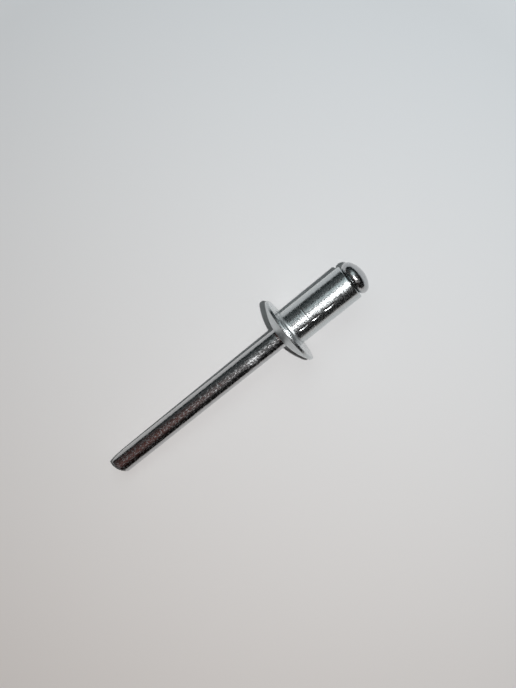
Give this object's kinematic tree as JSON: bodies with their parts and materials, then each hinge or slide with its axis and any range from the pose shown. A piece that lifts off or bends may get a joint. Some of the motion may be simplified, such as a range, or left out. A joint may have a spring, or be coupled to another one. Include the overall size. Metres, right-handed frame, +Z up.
{
  "type": "blind rivet",
  "caption": "Open-end blind rivet with a domed flange and a steel pull mandrel, unset, lying on its side.",
  "frame": {"origin": "middle of the rivet's length and width, on the surface that it lies on", "axes": "+X along the rivet towards its blind end (the axis rises by 6.9 degrees that way), +Y across, +Z up from the surface it lies on"},
  "size_m": [0.0406, 0.0094, 0.0094],
  "materials": {
    "body_aluminium": "bright cold-formed aluminium, finely mottled, with faint lengthwise marks",
    "mandrel_steel": "bright drawn steel wire, darker than the body, with fine lengthwise marks"
  },
  "bodies": {
    "root": {"rivet_body": "body_aluminium", "mandrel": "mandrel_steel"}
  },
  "joints": []
}
